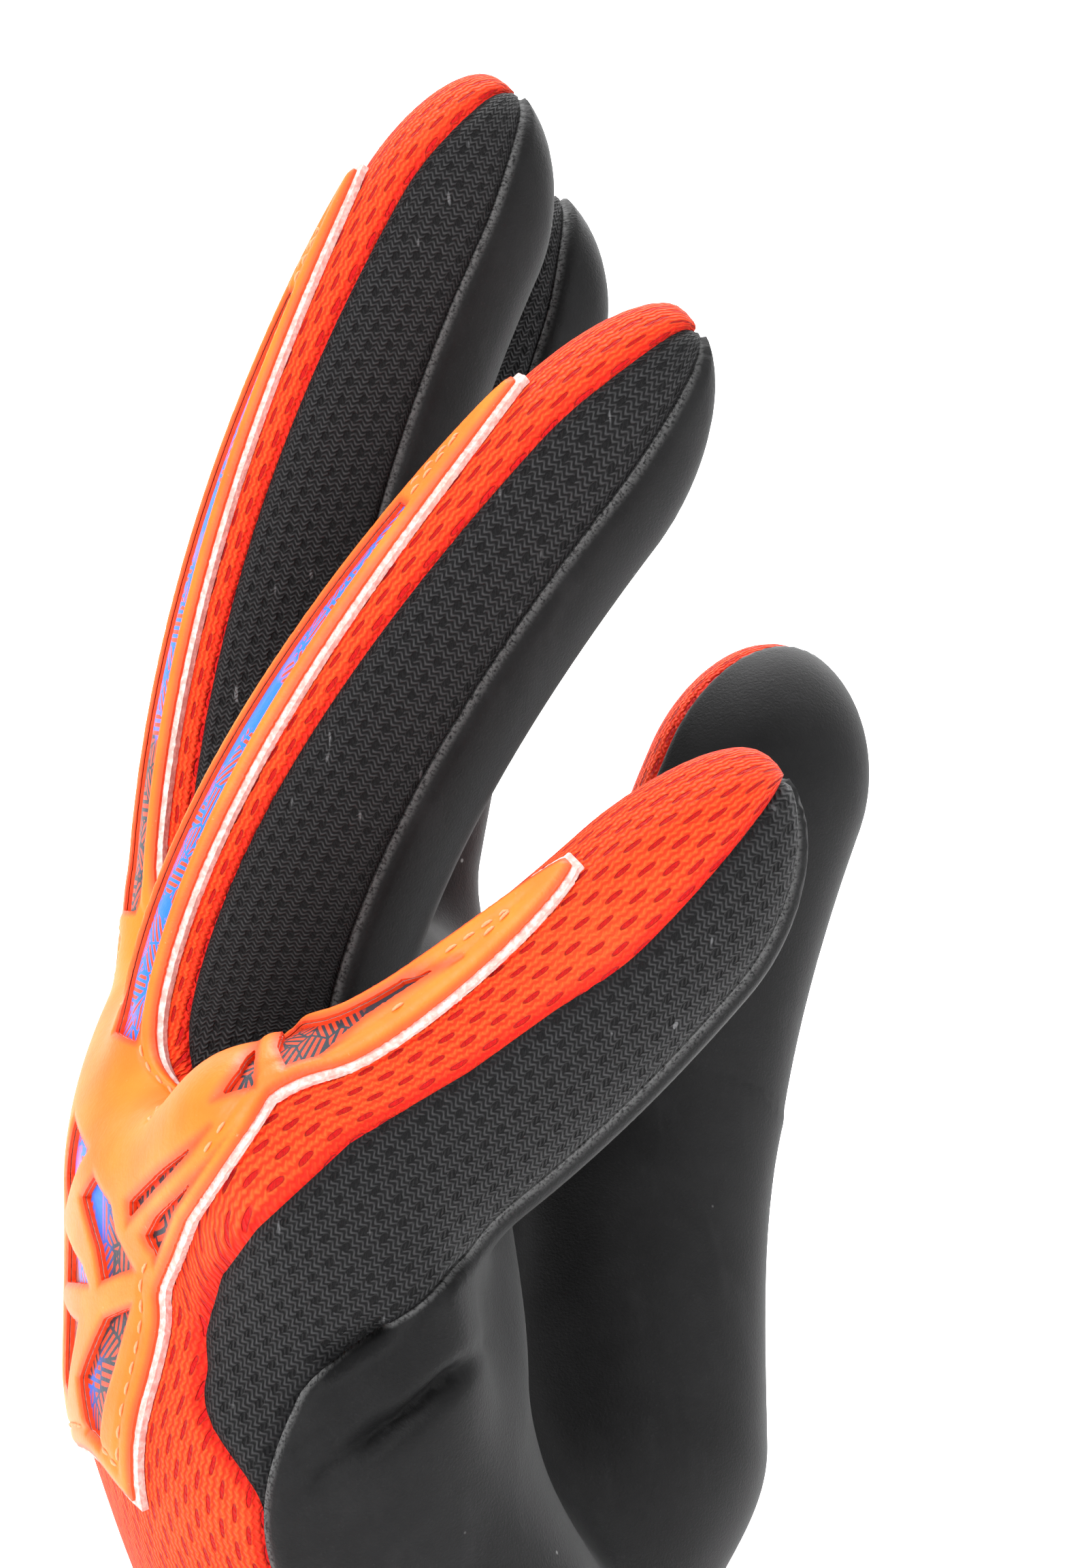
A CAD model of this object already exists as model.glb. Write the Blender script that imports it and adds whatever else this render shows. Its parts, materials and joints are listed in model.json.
"""Looks of a goalkeeper glove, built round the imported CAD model. Lengths are in millimetres until a
mesh is made, and the frame is the CAD frame: fingers +Z, palm +X, thumb side +Y."""
import json
import math
import bpy
import numpy as np
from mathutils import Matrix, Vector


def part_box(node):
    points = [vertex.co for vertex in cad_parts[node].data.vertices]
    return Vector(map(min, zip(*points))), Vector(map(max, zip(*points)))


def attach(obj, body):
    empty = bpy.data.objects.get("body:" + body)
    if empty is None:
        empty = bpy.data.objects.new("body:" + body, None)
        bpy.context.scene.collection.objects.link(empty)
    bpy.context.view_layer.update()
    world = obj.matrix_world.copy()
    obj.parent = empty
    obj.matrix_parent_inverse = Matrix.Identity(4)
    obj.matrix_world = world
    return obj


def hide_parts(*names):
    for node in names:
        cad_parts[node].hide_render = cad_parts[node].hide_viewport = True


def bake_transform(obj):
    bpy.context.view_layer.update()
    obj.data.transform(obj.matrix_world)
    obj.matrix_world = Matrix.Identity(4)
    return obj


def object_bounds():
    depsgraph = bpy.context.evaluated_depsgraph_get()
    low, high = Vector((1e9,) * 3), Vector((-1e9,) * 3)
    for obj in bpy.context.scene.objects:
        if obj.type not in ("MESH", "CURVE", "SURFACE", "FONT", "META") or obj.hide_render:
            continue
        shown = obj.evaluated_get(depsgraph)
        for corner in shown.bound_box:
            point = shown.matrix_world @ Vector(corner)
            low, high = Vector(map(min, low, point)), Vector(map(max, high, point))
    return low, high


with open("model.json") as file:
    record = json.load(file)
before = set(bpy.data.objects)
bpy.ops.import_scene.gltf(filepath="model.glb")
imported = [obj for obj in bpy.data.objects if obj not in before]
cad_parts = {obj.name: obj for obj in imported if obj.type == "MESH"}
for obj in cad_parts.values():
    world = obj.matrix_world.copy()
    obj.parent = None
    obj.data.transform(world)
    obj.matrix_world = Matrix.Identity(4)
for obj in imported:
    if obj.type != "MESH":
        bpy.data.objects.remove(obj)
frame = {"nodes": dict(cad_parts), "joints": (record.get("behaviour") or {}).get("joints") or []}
CAD_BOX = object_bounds()
MM = 0.001
JOINTS = {j["name"]: j for j in frame["joints"]}


def joint_at(name):
    """Place of a joint, in millimetres."""
    return np.array(JOINTS[name]["pos_m"], float) / MM


def node_box(name):
    """Lowest and highest corner of a CAD node, in millimetres."""
    return [np.array(corner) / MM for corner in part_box(name)]


# ------------------------------------------------------------------ driving dimensions

# Fingers, from the little one on: middle and end of the centre line, roll of the back panel,
# half thickness, half widths of the back panel outwards and of the outer gusset in degrees, bare
# length beyond the overlay
FINGERS = {
    "little": dict(mid=(13, -39, 130), end=(38.6, -39, 160.8), roll=32,
                   depth=15.2, back=68, outer=64, bare=20),
    "ring": dict(mid=(-12.5, -13, 164.5), end=(30.8, -13, 211), roll=23,
                   depth=14.4, back=52, outer=46, bare=14),
    "middle": dict(mid=(-18, 12, 195), end=(10, 12, 242.5), roll=18,
                   depth=14.4, back=52, outer=46, bare=16),
    "index": dict(mid=(-3, 37.5, 192), end=(15, 37.5, 234.5), roll=15,
                   depth=14.4, back=52, outer=46, bare=16),
}
FINGER_WIDTH = 11.6
FINGER_TAPER = 0.26
INNER_GUSSET = 46
TIP_ROUND = 17
BACK_HALF = 52
THUMB = dict(mid=(33, 42, 146), end=(47.5, 46, 176.6), roll=12, depth=13.4, width=15, taper=0.08)
THUMB_GUSSET = 40
THENAR_PATH = [(16, 22, 59), (20, 30, 92), tuple(joint_at("thumb_root"))]
THENAR_RADIUS = 23
THENAR_BACK = 70
FLEX_LINE = 0.4
CROTCHES = {-26.0: 122.0, -0.5: 142.0, 25.0: 149.0}
PALM_HALF_DEPTH = 23.5
PALM_HALF_WIDTH = 51
HAND_BASE = 60
RADIAL_BACK, RADIAL_FRONT = 98, 84
OVERLAY_RADIAL, OVERLAY_ULNAR = 152, 247
OVERLAY_HALF = 24
OVERLAY_RISE = 1.7
FILM_RISE = 0.45
KNIT_WALL = 1.8
LATEX_WALL = 3.4
GRID = 25.5 / 30
SKIN_END = 58.5
SEWN_LENGTH, SEWN_GAP, SEWN_RADIUS = 2.2, 0.9, 0.28
STRAP_TOP, FLAP_TOP = 2.3, 4.9
GROOVE_INSET = 2.3


# ------------------------------------------------------------------ small mathematics

def unit(v):
    v = np.asarray(v, float)
    return v / np.maximum(np.linalg.norm(v, axis=-1, keepdims=True), 1e-12)


def smooth(x):
    t = np.clip(x, 0, 1)
    return t * t * (3 - 2 * t)


def mix(a, b, t):
    return a + (b - a) * t


def smooth_min(a, b, k):
    h = np.maximum(k - np.abs(a - b), 0) / k
    return np.minimum(a, b) - h * h * k / 4


def bell(x, width):
    return np.exp(-(x / width) ** 2)


def dot(a, b):
    return (a * b).sum(-1)


# ------------------------------------------------------------------ soft shapes as distance fields

class Tube:
    """A tapering round shape along a curve of three points, seen from its own centre line."""

    def __init__(self, points, axis, radii, roll=0, tip=0.0, below=12.0):
        self.p = np.array(points, float)
        self.axis = unit(axis)
        self.radii = radii
        self.roll = math.radians(roll)
        self.tip = tip
        self.below = below
        steps = self.at(np.linspace(0, 1, 65))
        self.length = float(np.linalg.norm(np.diff(steps, axis=0), axis=1).sum())

    def at(self, t):
        t = np.asarray(t)[..., None]
        return (1 - t) ** 2 * self.p[0] + 2 * t * (1 - t) * self.p[1] + t * t * self.p[2]

    def slope(self, t):
        t = np.asarray(t)[..., None]
        return 2 * ((1 - t) * (self.p[1] - self.p[0]) + t * (self.p[2] - self.p[1]))

    def locate(self, points):
        """Distance along the tube, and the place across it towards the back and towards the side."""
        guesses = np.linspace(0, 1, 25)
        centres = self.at(guesses)
        best = np.full(len(points), np.inf)
        t = np.zeros(len(points))
        for guess, centre in zip(guesses, centres):
            gap = dot(points - centre, points - centre)
            nearer = gap < best
            best[nearer] = gap[nearer]
            t[nearer] = guess
        bend = 2 * (self.p[2] - 2 * self.p[1] + self.p[0])
        for _ in range(4):
            rel, d1 = points - self.at(t), self.slope(t)
            t = np.clip(t + dot(rel, d1) / np.maximum(dot(d1, d1) - dot(rel, bend), 1.0), 0, 1)
        along = unit(self.slope(t))
        rel = points - self.at(t)
        extra = dot(rel, along)
        rel = rel - extra[:, None] * along
        dorsal = unit(np.cross(along, self.axis))
        sideways = np.cross(dorsal, along)
        back = dorsal * math.cos(self.roll) - sideways * math.sin(self.roll)
        side = -dorsal * math.sin(self.roll) - sideways * math.cos(self.roll)
        return t * self.length + extra, dot(rel, back), dot(rel, side)

    def distance(self, points, place=None):
        s, d, u = self.locate(points) if place is None else place
        a, b = self.radii(np.clip(s / self.length, 0, 1))
        end = self.tip if self.tip else 1.0
        reach = np.clip((s - self.length + self.tip) / end, 0, 3) * (self.tip > 0)
        d = d - 0.3 * a * (1 - np.sqrt(1 - np.minimum(reach, 1) ** 2)) * (self.tip > 0)
        low = np.clip(-s / self.below, 0, 3) * (self.tip > 0)
        rho = np.sqrt((d / a) ** 2 + (u / b) ** 2 + reach ** 2 + low ** 2)
        steep = np.sqrt((d / a ** 2) ** 2 + (u / b ** 2) ** 2
                        + (reach / end) ** 2 + (low / self.below) ** 2)
        steep = steep / np.maximum(rho, 0.05)
        gap = np.maximum((rho - 1) / np.maximum(steep, 1e-3), -b)
        return gap if self.tip else np.maximum(gap, np.maximum(s - self.length, -self.below - s))

    def around(self, place):
        """Angle round the tube from the middle of its back, in degrees, and its radius there."""
        a, b = self.radii(np.clip(place[0] / self.length, 0, 1))
        return np.degrees(np.arctan2(place[2] / b, place[1] / a)), (a + b) / 2


def tapered(depth, width, taper):
    def radii(t):
        size = 1 - taper * t ** 1.5
        return depth * size, width * size
    return radii


def thenar_radii(t):
    wrist = mix(0.62, 1, smooth((t + 0.08) / 0.42))
    return (mix(THENAR_RADIUS, THUMB["depth"], smooth(t * 0.9)) * wrist,
            mix(THENAR_RADIUS, THUMB["width"], smooth(t)) * wrist)


def digit_tube(name, spec, width, taper):
    path = [joint_at(name + "_root"), spec["mid"], spec["end"]]
    return Tube(path, JOINTS[name + "_root"]["axis"], tapered(spec["depth"], width, taper),
                spec["roll"], TIP_ROUND, below=9 if name == "little" else 20)


TUBES = {name: digit_tube(name, spec, FINGER_WIDTH, FINGER_TAPER) for name, spec in FINGERS.items()}
TUBES["thumb"] = digit_tube("thumb", THUMB, THUMB["width"], THUMB["taper"])
TUBES["thenar"] = Tube(THENAR_PATH, JOINTS["thumb_root"]["axis"], thenar_radii)
DIGITS = list(FINGERS) + ["thumb"]
LABELS = ["hand"] + list(TUBES)


def hand_x(z):
    return -16.5 * smooth((z - 50) / 45)


def hand_radius(a, z):
    """Radius of the hand's section in direction a, from the palm side (0) round by the thumb (90)."""
    depth = PALM_HALF_DEPTH + 3 - 3 * smooth((z - 60) / 25) - 6 * smooth((z - 115) / 32)
    width = mix(38, PALM_HALF_WIDTH, smooth((z - 50) / 45))
    c, s = np.abs(np.cos(np.radians(a))), np.abs(np.sin(np.radians(a)))
    heel = 5 * bell(a + 50, 22) * bell(z - 82, 24)
    return ((c / depth) ** 2.5 + (s / width) ** 2.5) ** -0.4 + heel


def knuckle_z(y):
    return 117.5 + 31 * smooth((y + 41) / 56)


def hand_polar(points):
    """Direction in degrees, radius, and offset towards the palm, from the middle of the section."""
    x, y, z = points.T
    dx = x - hand_x(z) - 0.005 * smooth((z - 70) / 40) * y * y
    return np.degrees(np.arctan2(y, dx)), np.hypot(dx, y), dx


def hand_distance(points):
    a, r, dx = hand_polar(points)
    y, z = points[:, 1], points[:, 2]
    here = hand_radius(a, z)
    turn = (hand_radius(a + 1, z) - hand_radius(a - 1, z)) / math.radians(2)
    wall = (r - here) * here / np.sqrt(here ** 2 + turn ** 2)
    tilt = 0.08 + 0.57 * (1 - smooth((y + 41) / 30))
    top = knuckle_z(y) - 1.4 - dx * tilt - np.abs(dx) * np.where(dx > 0, 0.22, 0.18)
    cap = (z - top) / np.sqrt(1 + (tilt + 0.2) ** 2)
    return -smooth_min(-wall, -cap, 9)


ARC_ANGLES = np.arange(-180.0, 361.0)
ARC_RADII = hand_radius(((ARC_ANGLES + 180) % 360) - 180, 100.0)
ARC_STEPS = np.hypot(np.diff(ARC_RADII), np.radians(1) * (ARC_RADII[1:] + ARC_RADII[:-1]) / 2)
ARC = np.concatenate([[0], np.cumsum(ARC_STEPS)])


def arc(a):
    """Length round the hand's section from the middle of its back, positive towards the little finger."""
    return np.interp(a, ARC_ANGLES, ARC) - np.interp(180, ARC_ANGLES, ARC)


# ------------------------------------------------------------------ panels of the glove

def polygon_distance(u, v, corners, round_by):
    """Signed distance to a polygon with rounded corners, positive inside."""
    corners = np.array(corners, float)
    inside = np.zeros(len(u), bool)
    near = np.full(len(u), np.inf)
    for (u0, v0), (u1, v1) in zip(corners, np.roll(corners, -1, axis=0)):
        du, dv = u1 - u0, v1 - v0
        t = np.clip(((u - u0) * du + (v - v0) * dv) / (du * du + dv * dv), 0, 1)
        near = np.minimum(near, np.hypot(u - u0 - t * du, v - v0 - t * dv))
        crossing = ((v0 > v) != (v1 > v)) & (u < u0 + (v - v0) * du / (dv if dv else 1e-9))
        inside ^= crossing
    return np.where(inside, near, -near) - round_by * bell(near, 1.2)


# Windows of the overlay as outlines of (along, around): along grows towards the fingertips, around
# from the middle of the back towards the little finger
WINDOWS = [
    [(114.6, 22.6), (117.4, 27), (114.9, 32.2), (112.0, 33.2), (108.2, 37), (105.6, 29.6), (109.4, 27.6)],
    [(109.6, 14.5), (107.4, 24), (105, 27.2), (103.4, 13.5)],
    [(102.6, 31), (104.8, 36.8), (89, 34.4), (88.5, 31), (95, 25.5)],
    [(101.4, 13.5), (101, 24), (92, 20.5), (92.5, 14.5)],
    [(122, 14), (119.2, 24.6), (112.6, 14.5), (115.2, 10.5)],
    [(109.5, 10.4), (101.6, 9.4), (90.5, 9.6), (90.5, -4), (104.5, -3)],
    [(112, 5.6), (106.5, -6.4), (120, -12), (126, -7)],
    [(103, -8), (90.8, -9), (91.2, -24), (104.5, -22), (115, -17.5)],
    [(131, -14.5), (121, -16.8), (112.5, -24.5), (126, -25.5)],
]
WINDOW_MARGIN = 2.3

# Windows and border of the overlay and seam of the back panel where they turn onto the little finger,
# as outlines in the side elevation (x, z)
SIDE_WINDOWS = [
    [(-14.2, 131.2), (-13.5, 133.8), (-8.8, 135.7), (5.4, 141.3), (-4.3, 134.9), (-12.5, 128.4)],
    [(-19.8, 126.6), (-17.4, 130.3), (-15.9, 131.5), (-16.0, 127.8)],
    [(-29.6, 113.2), (-29.7, 115.6), (-25.3, 120), (-19.8, 124.6), (-22, 121.6)],
    [(-27.8, 112.4), (-26.4, 114.9), (-22, 119.6), (-17.2, 124.4), (-20.6, 119.4), (-26.2, 109.6)],
]
SIDE_SEAM = [(-23.5, 96), (-22.4, 103), (-20.6, 108.8), (-16.5, 114.3), (-6.7, 123.4), (5.4, 130.4),
             (16.7, 138.4), (28.8, 149), (33.7, 156), (33.7, 190), (-60, 190), (-60, 96)]
SIDE_BORDER = [(-29.3, 85), (-26.6, 106), (-22.7, 115.2), (-14.6, 127.4), (-0.9, 135.6), (10, 141.6),
               (10, 170), (-60, 170), (-60, 85)]


def fields(points):
    """Everything that a place on the glove's skin knows: its coordinates along and around, its signed
    distances into the back panels, the palm side and the overlay, and the shape that it belongs to."""
    z, y = points[:, 2], points[:, 1]
    a, _, _ = hand_polar(points)
    turned = np.where(a < -20, a + 360, a)
    ulnar_back = -96 - 11 * smooth((z - 84) / 14) + 7 * smooth((z - 106) / 12)
    ulnar_front = -96 + 22 * smooth((z - 97) / 20)
    gaps = [hand_distance(points)]
    along, around = [z], [arc(turned)]
    back = [np.minimum(arc(turned) - arc(RADIAL_BACK), arc(360 + ulnar_back) - arc(turned))]
    palm = [np.minimum(arc(a) - arc(ulnar_front), arc(RADIAL_FRONT) - arc(a))]
    low_edge = 82 + 6 * smooth((arc(turned) + 10) / 40) - 4 * smooth((arc(turned) - 30) / 15)
    cover = [np.minimum(np.minimum(arc(turned) - arc(OVERLAY_RADIAL), arc(OVERLAY_ULNAR) - arc(turned)),
                        z - low_edge)]
    places, slits = {}, []
    for name, tube in TUBES.items():
        place = places[name] = tube.locate(points)
        psi, radius = tube.around(place)
        per_degree = np.radians(radius)
        gaps.append(tube.distance(points, place))
        root = tube.p[0][2] if name != "thenar" else joint_at("thumb_root")[2] - tube.length
        along.append(root + place[0])
        off = -tube.p[0][1] + radius * math.sin(tube.roll)
        around.append(psi * per_degree + (off if name in FINGERS else 0))
        if name == "thenar":
            back.append((THENAR_BACK - np.abs(psi)) * per_degree)
            palm.append((np.abs(psi) - THENAR_BACK) * per_degree)
            cover.append(np.full(len(points), -20.0))
            continue
        outer = FINGERS[name]["outer"] if name in FINGERS else THUMB_GUSSET
        inner = INNER_GUSSET if name in FINGERS else THUMB_GUSSET
        half = np.where(psi > 0, FINGERS[name]["back"], BACK_HALF) if name in FINGERS else BACK_HALF
        back.append((half - np.abs(psi)) * per_degree)
        palm.append((np.abs(psi) - half - np.where(psi > 0, outer, inner)) * per_degree)
        if name in FINGERS:
            end = tube.length - FINGERS[name]["bare"]
            lean = (9 if name == "little" else 0) * smooth(place[0] / 25)
            half = (OVERLAY_HALF - 0.8 * lean) * np.sqrt(1 - np.clip(place[0] / end, 0, 1) ** 3.5 * 0.97)
            cover.append(np.minimum((half - np.abs(psi - lean)) * per_degree, end - place[0]))
            start = 1.5 if name == "index" else -9
            cover[-1] = np.minimum(cover[-1], place[0] - start)
            if name != "little":
                ends = np.minimum(place[0] + 4, end - 15 - place[0])
                inset = cover[-1] - WINDOW_MARGIN + 0.2
                slits.append(np.minimum(np.minimum(inset, ends), 1.5 - gaps[-1]))
        else:
            cover.append(np.full(len(points), -20.0))
    gaps = np.array(gaps)
    label = gaps.argmin(0)
    weights = np.exp(-(gaps - gaps.min(0)) / 2.2)
    weights /= weights.sum(0)
    out = {"label": label, "along": (weights * along).sum(0), "around": (weights * around).sum(0),
           "back": (weights * back).sum(0), "palm": (weights * palm).sum(0),
           "cover": (weights * cover).sum(0)}
    turn = smooth((gaps[0] - gaps[1]) / 18 + 0.5)
    ulnar = (label <= 1) & (y < -30)
    for word, pair in (("weave_u", along), ("weave_v", around)):
        plain = out["along" if word == "weave_u" else "around"]
        out[word] = np.where(ulnar, mix(pair[0], pair[1], turn), plain)
    for y_mid, z_mid in CROTCHES.items():
        dip = 5 * bell(y - y_mid, 3.2) * smooth((z - z_mid + 7) / 8)
        out["back"] -= dip
        out["palm"] -= dip
    x = points[:, 0]
    side = smooth((z - 103) / 6) * smooth((-6 - x) / 10) * smooth((-34 - y) / 6)
    out["thumbward"] = gaps[0] - gaps[LABELS.index("thumb"):].min(0)
    out["cover"] = mix(out["cover"], 1.2 * polygon_distance(x, z, SIDE_BORDER, 0), side)
    for name in DIGITS:
        out["s_" + name] = places[name][0]
    side = smooth((z - 97) / 6) * smooth((24 - x) / 10) * smooth((-35 - y) / 6)
    out["back"] = mix(out["back"], polygon_distance(x, z, SIDE_SEAM, 0), side)
    shapes = [polygon_distance(out["along"], out["around"], w, 0.5) for w in WINDOWS]
    shapes = np.where(label > 1, -9, np.minimum(np.max(shapes, axis=0), out["cover"] - WINDOW_MARGIN))
    turned_out = np.where((label <= 1) & (y < -33), 0, -9)
    for corners in SIDE_WINDOWS:
        opening = np.minimum(polygon_distance(x, z, corners, 0.3), out["cover"] - 1.7)
        shapes = np.maximum(shapes, opening + turned_out)
    out["window"] = np.maximum(shapes, np.max(slits, axis=0))
    return out


def glove_grid():
    """Grid of signed distances to the glove's skin, with nodes on the planes between the fingers."""
    low = np.array([-46.0, -26 - 36 * GRID, 52.0])
    count = np.array([112, 118, 196]) / GRID
    axes = [low[i] + GRID * np.arange(int(count[i])) for i in range(3)]
    shape = tuple(len(a) for a in axes)
    field = np.full(shape, 30.0)

    def block(lo, hi):
        cut = [slice(int(np.searchsorted(a, l)), int(np.searchsorted(a, h)))
               for a, l, h in zip(axes, lo, hi)]
        mesh = np.meshgrid(*[a[c] for a, c in zip(axes, cut)], indexing="ij")
        return tuple(cut), np.stack([m.ravel() for m in mesh], -1), mesh[0].shape

    cut, points, size = block((-50, -60, 50), (36, 60, 166))
    field[cut] = hand_distance(points).reshape(size)
    ball = np.full(shape, 30.0)
    for name in ("thenar", "thumb"):
        tube = TUBES[name]
        cut, points, size = block(tube.p.min(0) - 28, tube.p.max(0) + 26)
        ball[cut] = np.minimum(ball[cut], tube.distance(points).reshape(size))
    body = smooth_min(field, ball, 11)
    field = body.copy()
    for name in FINGERS:
        tube = TUBES[name]
        cut, points, size = block(tube.p.min(0) - 20, tube.p.max(0) + 20)
        near = tube.distance(points).reshape(size)
        fillet = 12 if name == "little" else 7
        field[cut] = np.minimum(field[cut], smooth_min(body[cut], near, fillet))
    return field, low


def surface(field, low):
    """Skin of a grid of signed distances as vertices and triangles (surface nets)."""
    inside = field < 0
    corners = [(i, j, k) for i in (0, 1) for j in (0, 1) for k in (0, 1)]
    view = [slice(None, -1), slice(1, None)]
    total = sum(inside[view[i], view[j], view[k]].astype(np.int8) for i, j, k in corners)
    active = (total > 0) & (total < 8)
    number = np.full(active.shape, -1)
    cells = np.argwhere(active)
    number[active] = np.arange(len(cells))
    place, hits = np.zeros((len(cells), 3)), np.zeros(len(cells))
    for c in corners:
        for axis in range(3):
            if c[axis]:
                continue
            other = list(c)
            other[axis] = 1
            fa = field[tuple((cells + c).T)]
            fb = field[tuple((cells + other).T)]
            cross = (fa < 0) != (fb < 0)
            t = fa[cross] / (fa[cross] - fb[cross])
            spot = np.repeat([c], cross.sum(), 0).astype(float)
            spot[:, axis] += t
            place[cross] += spot
            hits[cross] += 1
    vertices = low + GRID * (cells + place / hits[:, None])
    quads = []
    for axis in range(3):
        b, c = (axis + 1) % 3, (axis + 2) % 3
        first, second = [slice(None)] * 3, [slice(None)] * 3
        first[axis], second[axis] = slice(None, -1), slice(1, None)
        change = np.argwhere(inside[tuple(first)] != inside[tuple(second)])
        change = change[(change[:, b] > 0) & (change[:, c] > 0)]
        ring = []
        for db, dc in ((1, 1), (0, 1), (0, 0), (1, 0)):
            cell = change.copy()
            cell[:, b] -= db
            cell[:, c] -= dc
            ring.append(number[tuple(cell.T)])
        ring = np.array(ring).T
        outward = inside[tuple(change.T)]
        ring[~outward] = ring[~outward][:, ::-1]
        quads.append(ring)
    quads = np.concatenate(quads)
    quads = quads[(quads >= 0).all(1)]
    p = vertices[quads]
    short = np.linalg.norm(p[:, 0] - p[:, 2], axis=1) < np.linalg.norm(p[:, 1] - p[:, 3], axis=1)
    tris = np.where(short[:, None], quads[:, [0, 1, 2, 0, 2, 3]], quads[:, [0, 1, 3, 1, 2, 3]])
    return vertices, tris.reshape(-1, 3)


def sample(field, low, points):
    """Value of the grid at points between its nodes."""
    g = np.clip((points - low) / GRID, 0, np.array(field.shape) - 1.001)
    i = g.astype(int)
    f = g - i
    total = 0
    for dx in (0, 1):
        for dy in (0, 1):
            for dz in (0, 1):
                weight = np.abs(1 - dx - f[:, 0]) * np.abs(1 - dy - f[:, 1]) * np.abs(1 - dz - f[:, 2])
                total = total + weight * field[i[:, 0] + dx, i[:, 1] + dy, i[:, 2] + dz]
    return total


def vertex_normals(points, tris):
    p = points[tris]
    face = np.cross(p[:, 1] - p[:, 0], p[:, 2] - p[:, 0])
    normal = np.zeros_like(points)
    for corner in range(3):
        for axis in range(3):
            normal[:, axis] += np.bincount(tris[:, corner], face[:, axis], len(points))
    return unit(normal)


def relax(points, tris, field, low, rounds):
    """Evens out the triangles while the vertices stay on the skin."""
    edges = np.unique(np.sort(tris[:, [0, 1, 1, 2, 2, 0]].reshape(-1, 2), axis=1), axis=0)
    a, b = np.concatenate([edges, edges[:, ::-1]]).T
    count = np.bincount(a, minlength=len(points))[:, None]
    for _ in range(rounds):
        mean = np.stack([np.bincount(a, points[b, i], len(points)) for i in range(3)], -1) / count
        points = mix(points, mean, 0.6)
        normal = vertex_normals(points, tris)
        for _ in range(2):
            step = 0.4
            here = sample(field, low, points)
            rate = (sample(field, low, points + normal * step) - sample(field, low, points - normal * step))
            points = points - normal * (here / np.maximum(rate / (2 * step), 0.4))[:, None]
    return points


# ------------------------------------------------------------------ sheets of triangles

class Skin:
    """Triangles with any number of values at each vertex."""

    def __init__(self, data, tris):
        self.data = data
        self.tris = tris

    def __getitem__(self, name):
        return self.data[name]

    def part(self, keep):
        tris = self.tris[keep]
        used, flat = np.unique(tris, return_inverse=True)
        return Skin({k: v[used] for k, v in self.data.items()}, flat.reshape(-1, 3))

    def mean(self, values):
        return values[self.tris].mean(1)

    def cut(self, level, snap=0.07):
        """Splits the triangles along level == 0."""
        level = np.where(np.abs(level) < snap, 0.0, level)
        sign = np.sign(level)[self.tris]
        busy = (sign.max(1) > 0) & (sign.min(1) < 0)
        keep, tris, sign = self.tris[~busy], self.tris[busy], sign[busy]
        if not len(tris):
            return self
        lone = np.where((sign == 0).any(1), (sign == 0).argmax(1),
                        (sign == -np.sign(sign.sum(1))[:, None]).argmax(1))
        order = (lone[:, None] + np.arange(3)) % 3
        tris = np.take_along_axis(tris, order, 1)
        sign = np.take_along_axis(sign, order, 1)
        one = sign[:, 0] == 0
        pairs = np.concatenate([tris[one][:, [1, 2]], tris[~one][:, [0, 1]], tris[~one][:, [2, 0]]])
        ends = np.sort(pairs, axis=1)
        unique, index = np.unique(ends, axis=0, return_inverse=True)
        index = index.ravel()
        a, b = unique.T
        t = level[a] / (level[a] - level[b])
        data = {}
        for name, v in self.data.items():
            share = t if v.ndim == 1 else t[:, None]
            fresh = v[np.where(t < 0.5, a, b)] if v.dtype.kind == "i" else mix(v[a], v[b], share)
            data[name] = np.concatenate([v, fresh])
        index = index + len(level)
        n1, n2 = one.sum(), (~one).sum()
        p, q, r = index[:n1], index[n1:n1 + n2], index[n1 + n2:]
        s, w = tris[one], tris[~one]
        made = [np.stack([s[:, 0], s[:, 1], p], 1), np.stack([s[:, 0], p, s[:, 2]], 1),
                np.stack([w[:, 0], q, r], 1), np.stack([q, w[:, 1], w[:, 2]], 1),
                np.stack([q, w[:, 2], r], 1)]
        return Skin(data, np.concatenate([keep] + made))

    def finer(self):
        """Each triangle in four."""
        ends = np.sort(self.tris[:, [0, 1, 1, 2, 2, 0]].reshape(-1, 2), axis=1)
        unique, index = np.unique(ends, axis=0, return_inverse=True)
        m = index.reshape(-1, 3) + len(next(iter(self.data.values())))
        data = {k: np.concatenate([v, v[unique[:, 0]] if v.dtype.kind == "i" else v[unique].mean(1)])
                for k, v in self.data.items()}
        t = self.tris
        tris = np.concatenate([np.stack([t[:, 0], m[:, 0], m[:, 2]], 1),
                               np.stack([m[:, 0], t[:, 1], m[:, 1]], 1),
                               np.stack([m[:, 2], m[:, 1], t[:, 2]], 1), m])
        return Skin(data, tris)

    def border(self):
        """Edges with one triangle, in the order in which it runs through them."""
        edges = self.tris[:, [0, 1, 1, 2, 2, 0]].reshape(-1, 2)
        _, index, count = np.unique(np.sort(edges, axis=1), axis=0, return_inverse=True, return_counts=True)
        return edges[count[index.ravel()] == 1]

    def clean(self):
        """Without triangles that have no area."""
        p = self["at"][self.tris]
        area = np.linalg.norm(np.cross(p[:, 1] - p[:, 0], p[:, 2] - p[:, 0]), axis=1)
        return self.part(area > 1e-6)


def without_scraps(skin, chosen, least=60):
    """The chosen triangles without islands of only a few triangles."""
    spots = np.flatnonzero(chosen)
    tris = skin.tris[spots]
    group = np.arange(len(skin["at"]))
    while True:
        lower = group.copy()
        np.minimum.at(lower, tris.ravel(), np.repeat(group[tris].min(1), 3))
        lower = lower[lower]
        if (lower == group).all():
            break
        group = lower
    group = group[tris[:, 0]]
    kept = chosen.copy()
    kept[spots[np.bincount(group)[group] < least]] = False
    return kept


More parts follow.
